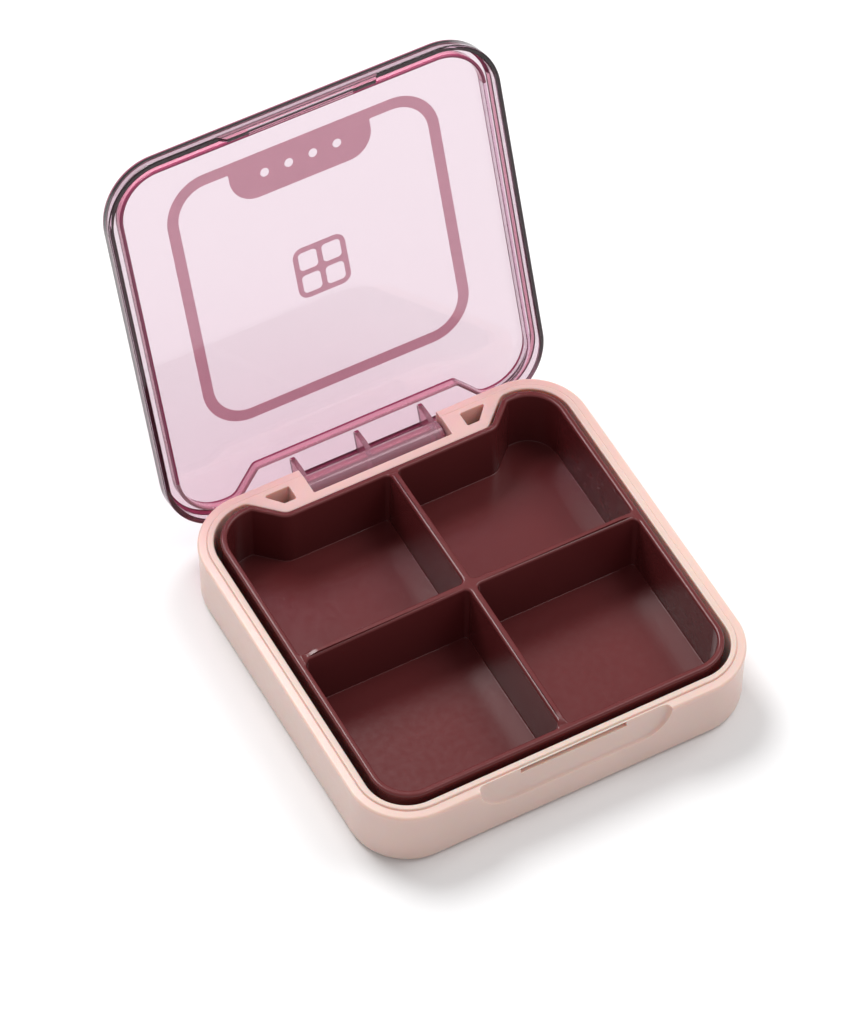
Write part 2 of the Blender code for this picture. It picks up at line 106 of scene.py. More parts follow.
TRAY_MID_REAR = 26.5
TRAY_FRONT_CORNER = 6.4
TRAY_REAR_CORNER = 6.6
TRAY_FLOOR_Z = 2.0
TRAY_RIM_Z = 13.3
TRAY_WALL = 1.1
TRAY_DRAFT = 0.45
TRAY_BASE_ROUND = 1.4
TRAY_EDGE_ROUND = 0.42
TRAY_BEAD = 0.12
TRAY_BEAD_Z = 12.2
TRAY_BEAD_STEPS = [(1.0, -0.08), (0.3, -0.04), (0.0, 0.04)]    # share of the bead, height about it
TRAY_JOG_IN = 18.4
TRAY_JOG_OUT = 22.6
DIVIDER_THICK = 1.37
DIVIDER_RUN = 2.8
DIVIDER_BAR_HALF = 1.6
DIVIDER_BAR_DEPTH = 1.5    # how far the bar reaches below the tray's rim
HOLLOW_TAPER = 0.28
HOLLOW_FLOOR_ROUND = 0.12
HOLLOW_CORNER = 0.9
HOLLOW_JOG_SHIFT = 0.4     # a hollow's jog stands this much further out than the outer wall's
HOLLOW_JOG_ROUND = 1.0     # and its rounds are this much smaller and larger

BARREL_RADIUS = 2.1
PIVOT_RADIUS = 1.1
PIVOT_LENGTH = 2.0
HINGE_SLACK = 0.3
NOTCH_HALF_X = 12.4
NOTCH_FRONT = 28.5
NOTCH_FLOOR_Z = 5.4
NOTCH_CORNER = 0.2
POCKET_FLOOR_Z = 3.0
POCKET = [(15.4, 28.8), (17.5, 28.8), (19.9, 31.5), (15.4, 31.5)]
POCKET_CORNER = 0.25
POCKET_TAPER = 0.12
SEAT_EDGE_ROUND = 0.15

SCOOP_HALF_X = 16.7
SCOOP_FLOOR_Z = 6.7
SCOOP_END_ROUND = 5.0
SCOOP_FACE_TOP = -32.95
SCOOP_FACE_FOOT = -33.45
SCOOP_ABOVE = 3.0          # how far the scoop's cutter stands above the rim
SCOOP_TOP_CORNER = 0.5
SCOOP_START_GROWTH = 0.2   # the cutter's mouth is this much wider than the scoop
SCOOP_SKIN = 0.03          # the mouth's inner ring stands this far in front of the wall
SCOOP_SKIM = 0.004         # the scoop's first ring stands this far in front of the wall
SCOOP_LEAST_DEPTH = 0.05
SCOOP_DISH = [             # growth of the outline, share of the scoop's depth
    (0.12, 0.0),
    (0.05, 0.16),
    (-0.03, 0.42),
    (-0.12, 0.62),
    (-0.25, 0.76),
    (-0.45, 0.87),
    (-0.75, 0.95),
    (-1.1, 0.99),
    (-1.5, 1.0),
]
SLOT_HALF_X = 9.3
SLOT_LOW_Z = 10.9
SLOT_HIGH_Z = 11.9
SLOT_BACK = -32.15
SLOT_CORNER = 0.12

LID_CORNER = 9.9
LID_PLATE = 1.0
LID_SKIRT = 0.9
LID_SKIRT_Z = 12.3
LID_EDGE_ROUND = 1.2
LID_INNER_ROUND = 0.5
LID_FOOT_ROUND = 0.22
SHADED_EDGE_IN = 1.25          # the lid's edge is painted dark, for shade, this far in from its outline and this far down from its top
SHADED_EDGE_DOWN = 1.4          # and this far down from its top
SHADED_TIP_HEIGHT = 0.25          # the ridge's tip is painted dark, for shade, this far up
TIP_MARGIN = 0.05
SHADED_ROOT_HEIGHT = 0.5          # the ridge's inner face is split this far below the plate; near the hinge the part above is painted dark, for shade
PAINTED_PALE_SIDE = 9.0            # the lid's right side is painted paler: its edges and ridge tips get lighter pinks than the painted dark shade elsewhere
HINGE_SIDE_Y = 18.4        # the ridge behind this line runs round the hinge
SURFACE_MARGIN = 0.02
RIDGE_JOG_IN = 0.4         # the ridge's jog stands this much further in than the tray's
RIDGE_GAP = 0.6
RIDGE_THICK = 0.6
RIDGE_TIP_Z = 12.7
GUSSET_THICK = 0.9
GUSSET_X = 11.5
GUSSET_FRONT = 28.9
GUSSET_FOOT = 1.2          # from the hinge's axis forward
GUSSET_BITE = 0.3          # into the rear wall
GUSSET_DROP = 0.9          # the straight part of the front edge, down from the plate
GUSSET_WAIST_BACK = 0.45
GUSSET_WAIST_Z = 2.6       # above the hinge's axis

TAB_HALF_X = 14.0
TAB_LOW_Z = 10.8
TAB_THICK = 0.6
TAB_RAMP = 1.2
TAB_BITE = 0.4             # how far the tab runs up into the skirt
BEAD_HALF_X = 9.0
BEAD_Z = 11.4
BEAD_REACH = 0.55
BEAD_HALF_HEIGHT = 0.3

PRINT_THICK = 0.05
PRINT_GAP = 0.02
PRINT_HALF_X = 23.7
PRINT_FRONT = -26.7
PRINT_REAR = 19.2
PRINT_CORNER = 7.5
PRINT_BAND = 1.9
PRINT_TAB_HALF_X = 12.3
PRINT_TAB_REACH = 7.7
PRINT_TAB_CORNER = 4.4
PRINT_WINDOW_CORNER = 0.3
PRINT_DOTS = 4
PRINT_DOT_PITCH = 4.2
PRINT_DOT_RADIUS = 0.75
PRINT_DOT_ROUND = 0.98     # share of a dot's half width that its corner takes
SYMBOL_CENTRE_Y = -2.6
SYMBOL_HALF = 4.6
SYMBOL_CORNER = 1.7
SYMBOL_LINE = 0.9
SYMBOL_PANE_CORNER = 0.7

# ---- looks: pairs of close colours, ranges of roughness ----
PEACH = ((0.72, 0.53, 0.47), (0.74, 0.55, 0.49))
PEACH_ROUGHNESS = (0.28, 0.36)
PEACH_GLOW = (0.7, 2.4)    # subsurface weight, and its reach in millimetres
BURGUNDY = ((0.122, 0.020, 0.021), (0.132, 0.023, 0.024))
BURGUNDY_ROUGHNESS = (0.19, 0.26)
BURGUNDY_GLOW = (0.0, 1.0)
BURGUNDY_SPECULAR = 0.38
GLOW_RADIUS = (1.0, 0.42, 0.26)
INK = ((0.72, 0.39, 0.47), (0.76, 0.42, 0.50))
INK_ROUGHNESS = (0.45, 0.6)
INK_CLEARNESS = 0.85
INK_IOR = 1.35
FLOOR_COLOUR = (0.88, 0.88, 0.885)
FLOOR_ROUGHNESS = 0.9
FLOOR_SPECULAR = 0.2

# the lid's plastic: base colour, transmission, range of roughness; the clear look is its own
# colour, the rosy and dark looks are painted shade
CLEAR_LOOK = ((0.88, 0.87, 0.87), 0.985, (0.005, 0.03))
# painted shade: a rosy pink for the lid's inner walls, gussets and barrel, and for its edges on the
# right side
PAINTED_ROSY_LOOK = ((0.92, 0.50, 0.60), 0.7, (0.05, 0.1))
# painted shade: a dark wine pink for the lid's edges, ridge tips and the ridge's root by the hinge
PAINTED_DARK_LOOK = ((0.34, 0.06, 0.13), 0.25, (0.08, 0.16))
PLASTIC_IOR = 1.5
PLASTIC_SHADOW = (0.99, 0.96, 0.97)
PLASTIC_BODY = (0.58, 0.12, 0.37)
PLASTIC_DENSITY = 300      # absorption, per metre

# the order of the lid's material slots: clear pink, painted rosy shade, painted dark shade
CLEAR = 0
PAINTED_ROSY = 1
PAINTED_DARK = 2

# noise: scales in patches per metre, bump distances in metres
NOISE_LOW = 0.3
NOISE_HIGH = 0.7
PLAIN_DETAIL = 2.0
FINE_DETAIL = 3.0
FLOW_SCALE = 60
GLOSS_SCALE = 900
HAZE_SCALE = 250
INK_MOTTLE_SCALE = 700
INK_GLOSS_SCALE = 2500
GRAIN_STRENGTH = 0.05
GRAIN_SCALE = 5200
GRAIN_DISTANCE = 0.00004
INK_GRAIN_SCALE = 4000
INK_GRAIN_DISTANCE = 0.00002

# ---- the studio, places in millimetres and power in watts ----
FLOOR_HALF = 1500
BACKDROP_STRENGTH = 0.46
KEY_PLACE = (-90, 480, 690)
KEY_SIZE = 420
KEY_POWER = 5.3
FILL_PLACE = (430, -60, 720)
FILL_SIZE = 500
FILL_POWER = 2.4
LIGHT_BOUNCES = 24         # enough for light to pass the lid's many faces
GLOSSY_BOUNCES = 16

# ---- the view ----
VIEW_AZIMUTH = -29.03
VIEW_ELEVATION = 52.85
VIEW_ROLL = 0.66
VIEW_DISTANCE = 902.91
VIEW_TARGET = (2.368, 17.719, 10.489)
VIEW_LENS = 201.18
VIEW_SENSOR = 36
VIEW_CLIP_START = 0.05
VIEW_CLIP_END = 20


# ---- sizes read from the frame ----
def node_box(name):
    low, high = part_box(name)
    return low / MM, high / MM


HINGE_JOINT = frame["joints"][0]
HINGE = Vector(HINGE_JOINT["pos_m"]) / MM
LID_OPEN = math.radians(HINGE_JOINT["range_deg"][1])


def closed_box(name):
    """The box of a node of the lid, with the lid turned shut about its hinge."""
    turn = Matrix.Rotation(LID_OPEN, 3, "X")
    points = [turn @ (v.co / MM - HINGE) + HINGE for v in frame["nodes"][name].data.vertices]
    low = Vector([min(p[axis] for p in points) for axis in range(3)])
    high = Vector([max(p[axis] for p in points) for axis in range(3)])
    return low, high


SHELL_LOW, SHELL_HIGH = node_box("base_shell")
TRAY_LOW, TRAY_HIGH = node_box("pill_tray")
LID_LOW, LID_HIGH = closed_box("lid")
RIM_TOP_Z = SHELL_HIGH.z
RIM_OUTER_Z = RIM_TOP_Z - RIM_STEP


# ---- outlines in the XY plane ----
def corner(x, y, radius):
    """An outline corner: its place, its radius, and the steps that its arc is drawn with."""
    return (x, y, radius, max(ARC_LEAST, round(radius * ARC_DENSITY)))


def rounded(corners):
    """Points of a closed outline, with each corner an arc."""
    points = []
    count = len(corners)
    for index, (x, y, radius, steps) in enumerate(corners):
        here = Vector((x, y))
        before = (Vector(corners[index - 1][:2]) - here).normalized()
        after = (Vector(corners[(index + 1) % count][:2]) - here).normalized()
        half = before.angle(after) / 2
        reach = radius / math.tan(half)
        centre = here + (before + after).normalized() * (radius / math.sin(half))
        start = here + before * reach - centre
        end = here + after * reach - centre
        sweep = math.atan2(start.cross(end), start.dot(end))
        for step in range(steps + 1):
            spoke = Matrix.Rotation(sweep * step / steps, 2) @ start
            points.append(tuple(centre + spoke))
    return points


def grown(corners, offset):
    """The same corners moved outwards by an offset; a negative one shrinks the outline."""
    result = []
    count = len(corners)
    for index, (x, y, radius, steps) in enumerate(corners):
        here = Vector((x, y))
        along_in = (here - Vector(corners[index - 1][:2])).normalized()
        along_out = (Vector(corners[(index + 1) % count][:2]) - here).normalized()
        normal_in = Vector((along_in.y, -along_in.x))
        normal_out = Vector((along_out.y, -along_out.x))
        shift = (normal_in + normal_out) * (offset / (1 + normal_in.dot(normal_out)))
        turn = offset if along_in.cross(along_out) > 0 else -offset
        result.append((x + shift.x, y + shift.y, max(radius + turn, ARC_LEAST_RADIUS), steps))
    return result


def mirrored(corners):
    """The outline reflected in the plane x = 0, still counter-clockwise."""
    return [(-x, y, radius, steps) for x, y, radius, steps in reversed(corners)]


def box_corners(x0, x1, y0, y1, radius):
    return [corner(x, y, radius) for x, y in ((x0, y0), (x1, y0), (x1, y1), (x0, y1))]


def jogged_corners(half_x, front, rear, mid_rear, jog_in, jog_out, front_round, rear_round):
    """A rounded square whose rear wall steps forward between the two hinge bosses."""
    right = [
        corner(half_x, front, front_round),
        corner(half_x, rear, rear_round),
        corner(jog_out, rear, JOG_ROUND),
        corner(jog_in, mid_rear, JOG_ROUND),
    ]
    return right + mirrored(right)


def quarter(radius, steps=ROUND_STEPS):
    """Pairs that run round a quarter circle: the way left across, and the way left up."""
    turns = [math.radians(90 * step / steps) for step in range(steps + 1)]
    return [(radius * (1 - math.sin(a)), radius * (1 - math.cos(a))) for a in turns]


# ---- solids ----
def add_object(name, data):
    """Turns a bmesh in millimetres into an object in metres."""
    bmesh.ops.scale(data, verts=data.verts, vec=(MM, MM, MM))
    bmesh.ops.recalc_face_normals(data, faces=data.faces)
    mesh = bpy.data.meshes.new(name)
    data.to_mesh(mesh)
    data.free()
    obj = bpy.data.objects.new(name, mesh)
    bpy.context.scene.collection.objects.link(obj)
    return obj


def loft(name, rings, closed=False):
    """A body through rings with the same number of points; a closed one has no end caps."""
    data = bmesh.new()
    layers = [[data.verts.new(point) for point in ring] for ring in rings]
    count = len(rings[0])
    pairs = list(zip(layers, layers[1:]))
    if closed:
        pairs.append((layers[-1], layers[0]))
    for lower, upper in pairs:
        for index in range(count):
            after = (index + 1) % count
            data.faces.new((lower[index], lower[after], upper[after], upper[index]))
    if not closed:
        data.faces.new(reversed(layers[0]))
        data.faces.new(layers[-1])
    return add_object(name, data)


def level(corners, offset, z):
    """One ring of a loft: the outline grown by an offset, at a height or over a surface."""
    points = rounded(grown(corners, offset))
    return [(x, y, z(x, y) if callable(z) else z) for x, y in points]


def prism(name, corners, z0, z1):
    return loft(name, [level(corners, 0, z0), level(corners, 0, z1)])


def slab_x(name, profile, x0, x1, edge=0.0):
    """A convex (y, z) profile drawn out along X, with its two ends chamfered by an edge."""
    if not edge:
        return loft(name, [[(x, y, z) for y, z in profile] for x in (x0, x1)])
    middle = Vector((sum(y for y, z in profile), sum(z for y, z in profile))) / len(profile)
    small = []
    for y, z in profile:
        spoke = Vector((y, z)) - middle
        small.append(tuple(middle + spoke * (1 - edge / spoke.length)))
    stations = [(x0, small), (x0 + edge, profile), (x1 - edge, profile), (x1, small)]
    return loft(name, [[(x, y, z) for y, z in shape] for x, shape in stations])


def hinge_rod(name, radius, half_length, sides=ROD_SIDES):
    """A round rod on the hinge's axis, with both ends chamfered."""
    turns = [2 * math.pi * step / sides for step in range(sides)]
    stations = [
        (-half_length, radius - CHAMFER),
        (-half_length + CHAMFER, radius),
        (half_length - CHAMFER, radius),
        (half_length, radius - CHAMFER),
    ]
    rings = []
    for x, r in stations:
        rings.append([(x, HINGE.y + r * math.cos(a), HINGE.z + r * math.sin(a)) for a in turns])
    return loft(name, rings)


def combine(target, helper, operation):
    modifier = target.modifiers.new(helper.name, "BOOLEAN")
    modifier.operation = operation
    modifier.solver = "EXACT"
    modifier.object = helper


def cut(target, helper):
    combine(target, helper, "DIFFERENCE")


def join(target, helper):
    combine(target, helper, "UNION")


def settle(obj):
    """Applies an object's Booleans, removes their helpers and shades the mesh smooth."""
    helpers = [m.object for m in obj.modifiers if m.type == "BOOLEAN"]
    bpy.context.view_layer.update()
    graph = bpy.context.evaluated_depsgraph_get()
    mesh = bpy.data.meshes.new_from_object(obj.evaluated_get(graph))
    obj.modifiers.clear()
    obj.data = mesh
    for helper in helpers:
        bpy.data.objects.remove(helper, do_unlink=True)
    data = bmesh.new()
    data.from_mesh(mesh)
    bmesh.ops.remove_doubles(data, verts=data.verts, dist=MERGE_DISTANCE * MM)
    bmesh.ops.dissolve_degenerate(data, edges=data.edges, dist=MERGE_DISTANCE * MM)
    data.to_mesh(mesh)
    data.free()
    mesh.shade_smooth()
    mesh.set_sharp_from_angle(angle=math.radians(SHARP_DEGREES))
    weighted = obj.modifiers.new("weighted", "WEIGHTED_NORMAL")
    weighted.keep_sharp = True
    weighted.weight = NORMAL_WEIGHT
    return obj


# ---- materials ----
def new_material(name):
    made = bpy.data.materials.new(name)
    made.use_nodes = True
    tree = made.node_tree
    return made, tree, tree.nodes["Principled BSDF"]


def noise(tree, scale, detail=PLAIN_DETAIL):
    """A noise texture in object space; its scale is in patches per metre."""
    place = tree.nodes.new("ShaderNodeTexCoord")
    texture = tree.nodes.new("ShaderNodeTexNoise")
    texture.inputs["Scale"].default_value = scale
    texture.inputs["Detail"].default_value = detail
    tree.links.new(place.outputs["Object"], texture.inputs["Vector"])
    return texture.outputs["Fac"]


def spread(tree, source, low, high):
    """Maps the middle of a noise's values onto a range."""
    ranged = tree.nodes.new("ShaderNodeMapRange")
    ranged.inputs["To Min"].default_value = low
    ranged.inputs["To Max"].default_value = high
    ranged.inputs["From Min"].default_value = NOISE_LOW
    ranged.inputs["From Max"].default_value = NOISE_HIGH
    tree.links.new(source, ranged.inputs["Value"])
    return ranged.outputs["Result"]


def tint(tree, source, first, second):
    """A colour that wanders between two close colours."""
    mix = tree.nodes.new("ShaderNodeMix")
    mix.data_type = "RGBA"
    mix.inputs["A"].default_value = (*first, 1)
    mix.inputs["B"].default_value = (*second, 1)
    tree.links.new(source, mix.inputs["Factor"])
    return mix.outputs["Result"]


def grain(tree, shader, scale, distance):
    """A fine bump; its distance is in metres."""
    bump = tree.nodes.new("ShaderNodeBump")
    bump.inputs["Strength"].default_value = GRAIN_STRENGTH
    bump.inputs["Distance"].default_value = distance
    tree.links.new(noise(tree, scale, FINE_DETAIL), bump.inputs["Height"])
    tree.links.new(bump.outputs["Normal"], shader.inputs["Normal"])


def moulded(name, colours, roughness, glow):
    """Moulded plastic: slow colour flow, a wandering gloss and a fine grain."""
    made, tree, shader = new_material(name)
    flow = spread(tree, noise(tree, FLOW_SCALE), 0, 1)
    tree.links.new(tint(tree, flow, *colours), shader.inputs["Base Color"])
    gloss = spread(tree, noise(tree, GLOSS_SCALE, FINE_DETAIL), *roughness)
    tree.links.new(gloss, shader.inputs["Roughness"])
    weight, reach = glow
    shader.inputs["Subsurface Weight"].default_value = weight
    shader.inputs["Subsurface Scale"].default_value = reach * MM
    shader.inputs["Subsurface Radius"].default_value = GLOW_RADIUS
    grain(tree, shader, GRAIN_SCALE, GRAIN_DISTANCE)
    return made


def clear_pink(name, look):
    """Clear tinted plastic: its colour deepens with the way that light goes through it; a rosy or
    dark look given to it is painted shade.
    """
    colour, clearness, roughness = look
    made, tree, shader = new_material(name)
    shader.inputs["Base Color"].default_value = (*colour, 1)
    shader.inputs["Transmission Weight"].default_value = clearness
    shader.inputs["IOR"].default_value = PLASTIC_IOR
    haze = spread(tree, noise(tree, HAZE_SCALE), *roughness)
    tree.links.new(haze, shader.inputs["Roughness"])
    output = tree.nodes["Material Output"]
    path = tree.nodes.new("ShaderNodeLightPath")
    through = tree.nodes.new("ShaderNodeBsdfTransparent")
    through.inputs["Color"].default_value = (*PLASTIC_SHADOW, 1)
    mix = tree.nodes.new("ShaderNodeMixShader")
    tree.links.new(path.outputs["Is Shadow Ray"], mix.inputs["Fac"])
    tree.links.new(shader.outputs["BSDF"], mix.inputs[1])
    tree.links.new(through.outputs["BSDF"], mix.inputs[2])
    tree.links.new(mix.outputs["Shader"], output.inputs["Surface"])
    volume = tree.nodes.new("ShaderNodeVolumeAbsorption")
    volume.inputs["Color"].default_value = (*PLASTIC_BODY, 1)
    volume.inputs["Density"].default_value = PLASTIC_DENSITY
    tree.links.new(volume.outputs["Volume"], output.inputs["Volume"])
    return made


def rose_ink():
    """A thin translucent film of ink, which glows with the light behind it."""
    made, tree, shader = new_material("rose_ink")
    mottle = spread(tree, noise(tree, INK_MOTTLE_SCALE, FINE_DETAIL), 0, 1)
    tree.links.new(tint(tree, mottle, *INK), shader.inputs["Base Color"])
    gloss = spread(tree, noise(tree, INK_GLOSS_SCALE), *INK_ROUGHNESS)
    tree.links.new(gloss, shader.inputs["Roughness"])
    shader.inputs["Transmission Weight"].default_value = INK_CLEARNESS
    shader.inputs["IOR"].default_value = INK_IOR
    grain(tree, shader, INK_GRAIN_SCALE, INK_GRAIN_DISTANCE)
    return made


def finish_piece(piece, body, surface, node):
    """Gives a piece its surface, unless it has some, fixes it to the body that it rides, and hides
    the frame's node that it stands for.
    """
    if surface is not None:
        piece.data.materials.append(surface)
    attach(piece, body)
    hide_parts(node)


# ---- base shell ----
def make_shell():
    """The case: a stepped rim round a cavity, with the hinge's seat and the finger scoop."""
    outline = box_corners(SHELL_LOW.x, SHELL_HIGH.x, SHELL_LOW.y, SHELL_HIGH.y, SHELL_CORNER)
    profile = []
    for across, up in quarter(SHELL_FOOT_ROUND):
        profile.append((SHELL_DRAFT + RIM_LIP + across, up))
    for share, rise in RIM_LIP_STEPS:
        profile.append((RIM_LIP * share, RIM_LIP_Z + rise))
    band_z = RIM_OUTER_Z - RIM_BAND_RISE
    for across, up in quarter(RIM_EDGE_ROUND):
        profile.append((up, band_z - across))
    profile.append((RIM_BAND_END, RIM_OUTER_Z))
    profile.append((RIM_GROOVE_IN - RIM_GROOVE_SIDE, RIM_OUTER_Z - RIM_GROOVE_DEPTH))
    profile.append((RIM_GROOVE_IN, RIM_OUTER_Z - RIM_GROOVE_DEPTH))
    for across, up in quarter(RIM_INNER_ROUND, COARSE_STEPS):
        profile.append((RIM_INNER_IN + up, RIM_TOP_Z - across))
    shell = loft("shell_body", [level(outline, -inset, z) for inset, z in profile])
    cavity_outline = jogged_corners(
        CAVITY_HALF_X, CAVITY_FRONT, CAVITY_REAR, CAVITY_MID_REAR,
        CAVITY_JOG_IN, CAVITY_JOG_OUT, CAVITY_FRONT_CORNER, CAVITY_REAR_CORNER)
    cavity = [level(cavity_outline, -taper, SHELL_FLOOR + rise) for taper, rise in CAVITY_FOOT]
    cavity += flare(cavity_outline, RIM_TOP_Z, CAVITY_EDGE_ROUND)
    cut(shell, loft("cavity_cutter", cavity))
    cut_hinge_seat(shell)
    cut_scoop(shell, profile)
    return settle(shell)


def flare(corners, top, radius):
    """The upper rings of a cutter that leaves a rounded edge where it breaks out at a top."""
    def height(drop):
        if callable(top):
            return lambda x, y: top(x, y) - drop
        return top - drop
    rings = [level(corners, up, height(across)) for across, up in quarter(radius)]
    rings.append(level(corners, radius, height(-CUTTER_LIFT)))
    return rings


def cut_hinge_seat(shell):
    """The notch for the lid's barrel, two blind sockets, and a relief pocket in each boss."""
    notch = box_corners(
        -NOTCH_HALF_X, NOTCH_HALF_X, NOTCH_FRONT, SHELL_HIGH.y + THROUGH, NOTCH_CORNER)
    rings = [level(notch, 0, NOTCH_FLOOR_Z)] + flare(notch, RIM_TOP_Z, SEAT_EDGE_ROUND)
    cut(shell, loft("notch_cutter", rings))
    reach = NOTCH_HALF_X + PIVOT_LENGTH
    cut(shell, hinge_rod("socket_cutter", PIVOT_RADIUS + HINGE_SLACK, reach))
    pocket = [corner(x, y, POCKET_CORNER) for x, y in POCKET]
    for side, corners in (("right", pocket), ("left", mirrored(pocket))):
        rings = [level(corners, -POCKET_TAPER, POCKET_FLOOR_Z)]
        rings += flare(corners, RIM_TOP_Z, SEAT_EDGE_ROUND)
        cut(shell, loft("pocket_cutter_" + side, rings))


def cut_scoop(shell, profile):
    """A D-shaped dish in the front wall, open at the rim, with the latch slot in it."""
    outer = [(inset, z) for inset, z in profile if z <= RIM_OUTER_Z]

    def wall_y(z):
        """Where the front wall's outer face lies at a height."""
        for (inset0, z0), (inset1, z1) in zip(outer, outer[1:]):
            if z0 <= z <= z1 and z1 > z0:
                return SHELL_LOW.y + inset0 + (inset1 - inset0) * (z - z0) / (z1 - z0)
        return SHELL_LOW.y + RIM_BAND_END

    def face_y(z):
        """Where the scoop's sloping face lies at a height."""
        share = (RIM_TOP_Z - z) / (RIM_TOP_Z - SCOOP_FLOOR_Z)
        return SCOOP_FACE_TOP + (SCOOP_FACE_FOOT - SCOOP_FACE_TOP) * share

    top = RIM_TOP_Z + SCOOP_ABOVE
    outline = [
        corner(-SCOOP_HALF_X, SCOOP_FLOOR_Z, SCOOP_END_ROUND),
        corner(SCOOP_HALF_X, SCOOP_FLOOR_Z, SCOOP_END_ROUND),
        corner(SCOOP_HALF_X, top, SCOOP_TOP_CORNER),
        corner(-SCOOP_HALF_X, top, SCOOP_TOP_CORNER),
    ]
    start = rounded(grown(outline, SCOOP_START_GROWTH))
    rings = [[(x, wall_y(z) - before, z) for x, z in start] for before in (THROUGH, SCOOP_SKIN)]
    for growth, share in SCOOP_DISH:
        skim = SCOOP_SKIM if share == 0 else 0
        ring = []
        for x, z in rounded(grown(outline, growth)):
            depth = max(face_y(z) - wall_y(z), SCOOP_LEAST_DEPTH)
            ring.append((x, wall_y(z) + depth * share - skim, z))
        rings.append(ring)
    cut(shell, loft("scoop_cutter", rings))
    slot = box_corners(
        -SLOT_HALF_X, SLOT_HALF_X, SCOOP_FACE_TOP - THROUGH, SLOT_BACK, SLOT_CORNER)
    cut(shell, prism("slot_cutter", slot, SLOT_LOW_Z, SLOT_HIGH_Z))


# ---- tray ----
def divider_top(distance):
    """Height of a divider at a distance from the wall that it runs into."""
    share = min(max(distance / DIVIDER_RUN, 0), 1)
    return TRAY_RIM_Z + (TRAY_HIGH.z - TRAY_RIM_Z) * (1 - (1 - share) ** 2)


def crest(x, y):
    """Height of the tray's top at a place: the rim, or the divider that passes there."""
    rear_wall = TRAY_MID_REAR - TRAY_WALL
    side_wall = TRAY_HIGH.x - TRAY_WALL
    front_wall = TRAY_LOW.y + TRAY_WALL
    height = TRAY_RIM_Z
    if abs(y) <= DIVIDER_BAR_HALF:
        height = max(height, divider_top(side_wall - abs(x)))
    if abs(x) <= DIVIDER_BAR_HALF:
        height = max(height, divider_top(min(rear_wall - y, y - front_wall)))
    return height


def divider_bar(name, low, high, along_x):
    """A wide bar with the divider's side view; the compartments cut it to thickness."""
    runs = [DIVIDER_RUN * step / DIVIDER_STEPS for step in range(DIVIDER_STEPS + 1)]
    base = TRAY_RIM_Z - DIVIDER_BAR_DEPTH
    side = [(low, base), (high, base)]
    side += [(high - run, divider_top(run)) for run in runs]
    side += [(low + run, divider_top(run)) for run in reversed(runs)]
    edges = (DIVIDER_BAR_HALF, -DIVIDER_BAR_HALF)
    if along_x:
        return loft(name, [[(s, edge, z) for s, z in side] for edge in edges])
    return loft(name, [[(edge, s, z) for s, z in side] for edge in reversed(edges)])


def compartments():
    """The four hollows' outlines; the left ones are mirror images of the right ones."""
    side = TRAY_HIGH.x - TRAY_WALL
    half = DIVIDER_THICK / 2
    front = [
        corner(half, TRAY_LOW.y + TRAY_WALL, HOLLOW_CORNER),
        corner(side, TRAY_LOW.y + TRAY_WALL, TRAY_FRONT_CORNER - TRAY_WALL),
        corner(side, -half, HOLLOW_CORNER),
        corner(half, -half, HOLLOW_CORNER),
    ]
    rear = [
        corner(half, half, HOLLOW_CORNER),
        corner(side, half, HOLLOW_CORNER),
        corner(side, TRAY_HIGH.y - TRAY_WALL, TRAY_REAR_CORNER - TRAY_WALL),
        corner(TRAY_JOG_OUT + HOLLOW_JOG_SHIFT, TRAY_HIGH.y - TRAY_WALL,
               JOG_ROUND - HOLLOW_JOG_ROUND),
        corner(TRAY_JOG_IN + HOLLOW_JOG_SHIFT, TRAY_MID_REAR - TRAY_WALL,
               JOG_ROUND + HOLLOW_JOG_ROUND),
        corner(half, TRAY_MID_REAR - TRAY_WALL, HOLLOW_CORNER),
    ]
    return {
        "front_right": front,
        "front_left": mirrored(front),
        "rear_right": rear,
        "rear_left": mirrored(rear),
    }


def make_tray():
    """The tray: a drafted wall with a bead, crossed by two dividers, with four hollows."""
    outline = jogged_corners(
        TRAY_HIGH.x, TRAY_LOW.y, TRAY_HIGH.y, TRAY_MID_REAR, TRAY_JOG_IN, TRAY_JOG_OUT,
        TRAY_FRONT_CORNER, TRAY_REAR_CORNER)
    rings = []
    for across, up in quarter(TRAY_BASE_ROUND, COARSE_STEPS):
        rings.append(level(outline, -TRAY_DRAFT - across, TRAY_LOW.z + up))
    for share, rise in TRAY_BEAD_STEPS:
        rings.append(level(outline, -TRAY_BEAD * share, TRAY_BEAD_Z + rise))
    for across, up in quarter(TRAY_EDGE_ROUND):
        rings.append(level(outline, -up, TRAY_RIM_Z - across))
    tray = loft("tray_body", rings)
    side = TRAY_HIGH.x - TRAY_WALL
    join(tray, divider_bar("bar_across", -side, side, True))
    front = TRAY_LOW.y + TRAY_WALL
    join(tray, divider_bar("bar_along", front, TRAY_MID_REAR - TRAY_WALL, False))
    for place, corners in compartments().items():
        hollow = []
        for across, up in quarter(HOLLOW_FLOOR_ROUND):
            hollow.append(level(corners, -HOLLOW_TAPER - across, TRAY_FLOOR_Z + up))
        hollow += flare(corners, crest, TRAY_EDGE_ROUND)
        cut(tray, loft("hollow_" + place, hollow))
    return settle(tray)


# ---- lid ----
def lid_rings():
    """Rings of the lid's cover from the inside of its plate, round the skirt, to its top."""
    corners = box_corners(LID_LOW.x, LID_HIGH.x, LID_LOW.y, LID_HIGH.y, LID_CORNER)
    inner = LID_HIGH.z - LID_PLATE
    rings = []
    for across, up in quarter(LID_INNER_ROUND):
        rings.append(level(corners, -LID_SKIRT - across, inner - up))
    for across, up in quarter(LID_FOOT_ROUND, COARSE_STEPS):
        rings.append(level(corners, -LID_SKIRT + up, LID_SKIRT_Z + across))
    for across, up in quarter(LID_FOOT_ROUND, COARSE_STEPS):
        rings.append(level(corners, -across, LID_SKIRT_Z + up))
    for across, up in quarter(LID_EDGE_ROUND, FINE_STEPS):
        rings.append(level(corners, -up, LID_HIGH.z - across))
    return rings


